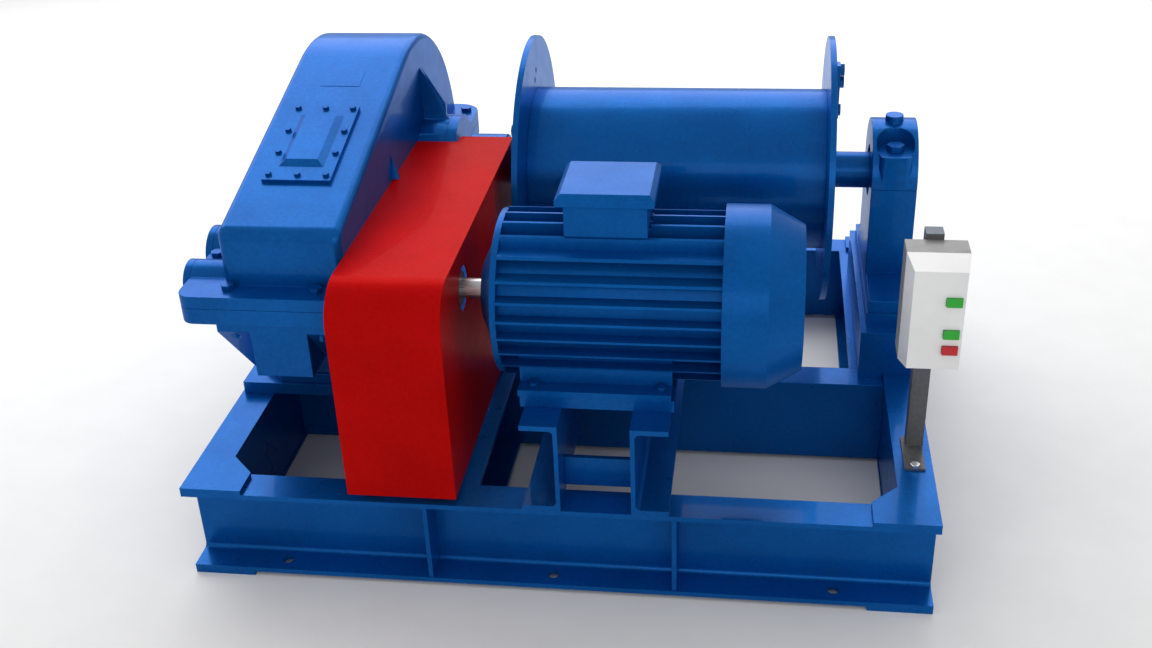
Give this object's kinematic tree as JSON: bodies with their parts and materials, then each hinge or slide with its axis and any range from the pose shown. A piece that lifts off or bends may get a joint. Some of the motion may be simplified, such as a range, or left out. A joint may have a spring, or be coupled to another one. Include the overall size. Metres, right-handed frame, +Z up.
{
  "type": "electric rope winch",
  "caption": "Electric rope winch on a welded channel frame: smooth flanged drum, three-stage gearbox, foot motor, red guard, pedestal bearing and push-button box.",
  "frame": {"origin": "middle of the outline, on the floor that the base frame stands on", "axes": "+X from the gearbox along the drum to the pedestal bearing, +Y from the motor to the drum, +Z up"},
  "size_m": [1.578, 1.312, 0.916],
  "materials": {
    "blue_steel": "glossy blue paint with slight orange peel",
    "blue_casting": "glossy blue paint on cast iron",
    "painted_bolts": "blue paint over steel bolts",
    "bare_steel": "turned and ground steel",
    "bare_iron": "machined cast iron",
    "stator_iron": "laminated core with varnished windings",
    "fan_plastic": "moulded, matt",
    "red_guard": "satin red paint",
    "grey_post": "satin grey paint",
    "grey_box": "moulded, matt grey",
    "white_box": "moulded, matt off-white",
    "green_button": "moulded, gloss green",
    "red_button": "moulded, gloss red"
  },
  "bodies": {
    "base": {"base_front_channel": "blue_steel", "base_rear_channel": "blue_steel", "base_left_channel": "blue_steel", "base_right_channel": "blue_steel", "base_middle_channel": "blue_steel", "base_inner_channels": "blue_steel", "base_end_plates": "blue_steel", "base_stiffeners": "blue_steel", "motor_support_left": "blue_steel", "motor_support_right": "blue_steel", "motor_support_tie": "blue_steel", "motor_mount_plate": "blue_steel", "gearbox_bedplate": "blue_steel", "bearing_stand": "blue_steel", "motor_fan_cover": "blue_steel", "gearbox_lower_case": "blue_casting", "gearbox_upper_case": "blue_casting", "inspection_cover": "blue_casting", "gearbox_bearing_caps": "blue_casting", "output_bearing_cap": "blue_casting", "motor_housing": "blue_casting", "motor_drive_end_shield": "blue_casting", "motor_fan_end_shield": "blue_casting", "motor_terminal_box": "blue_casting", "motor_terminal_lid": "blue_casting", "pedestal_base": "blue_casting", "pedestal_cap": "blue_casting", "inspection_screws": "painted_bolts", "gearbox_bolts": "painted_bolts", "motor_foot_bolts": "painted_bolts", "pedestal_bolts": "painted_bolts", "gearbox_bearings": "bare_steel", "motor_bearings": "bare_steel", "pedestal_bearing": "bare_steel", "motor_stator": "stator_iron", "drive_guard": "red_guard", "control_post": "grey_post", "control_box_back": "grey_box", "control_box_cover": "white_box"},
    "drum": {"drum_barrel": "blue_steel", "drum_left_flange": "blue_steel", "drum_right_flange": "blue_steel", "drum_shaft": "blue_steel", "output_coupling": "blue_steel", "rope_clamp": "blue_casting", "output_gear_shaft": "bare_steel"},
    "third_shaft": {"third_gear_shaft": "bare_steel"},
    "second_shaft": {"second_gear_shaft": "bare_steel"},
    "drive": {"input_pinion_shaft": "bare_steel", "gearbox_coupling_hub": "bare_iron", "coupling_pins": "bare_steel", "motor_coupling_hub": "bare_iron", "motor_rotor": "bare_steel", "motor_fan": "fan_plastic"},
    "forward_key": {"forward_button": "green_button"},
    "reverse_key": {"reverse_button": "green_button"},
    "stop_key": {"stop_button": "red_button"}
  },
  "joints": [
    {"name": "drum_spin", "type": "hinge", "parent": "base", "child": "drum", "pos_m": [-0.015, 0.227, 0.595], "axis": [1, 0, 0], "continuous": true},
    {"name": "third_shaft_spin", "type": "hinge", "parent": "base", "child": "third_shaft", "pos_m": [-0.015, -0.088, 0.595], "axis": [1, 0, 0], "continuous": true},
    {"name": "second_shaft_spin", "type": "hinge", "parent": "base", "child": "second_shaft", "pos_m": [-0.015, -0.298, 0.595], "axis": [1, 0, 0], "continuous": true},
    {"name": "drive_spin", "type": "hinge", "parent": "base", "child": "drive", "pos_m": [-0.015, -0.438, 0.595], "axis": [1, 0, 0], "continuous": true},
    {"name": "forward_press", "type": "slide", "parent": "base", "child": "forward_key", "axis": [0, 1, 0], "range_m": [0, 0.004], "stiffness_N_per_m": 400, "springref_m": -0.002},
    {"name": "reverse_press", "type": "slide", "parent": "base", "child": "reverse_key", "axis": [0, 1, 0], "range_m": [0, 0.004], "stiffness_N_per_m": 400, "springref_m": -0.002},
    {"name": "stop_press", "type": "slide", "parent": "base", "child": "stop_key", "axis": [0, 1, 0], "range_m": [0, 0.004], "stiffness_N_per_m": 400, "springref_m": -0.002}
  ],
  "couplings": [
    {"joint": "third_shaft_spin", "follows": "drum_spin", "ratio": -4},
    {"joint": "second_shaft_spin", "follows": "drum_spin", "ratio": 15.765},
    {"joint": "drive_spin", "follows": "drum_spin", "ratio": -45.542}
  ]
}
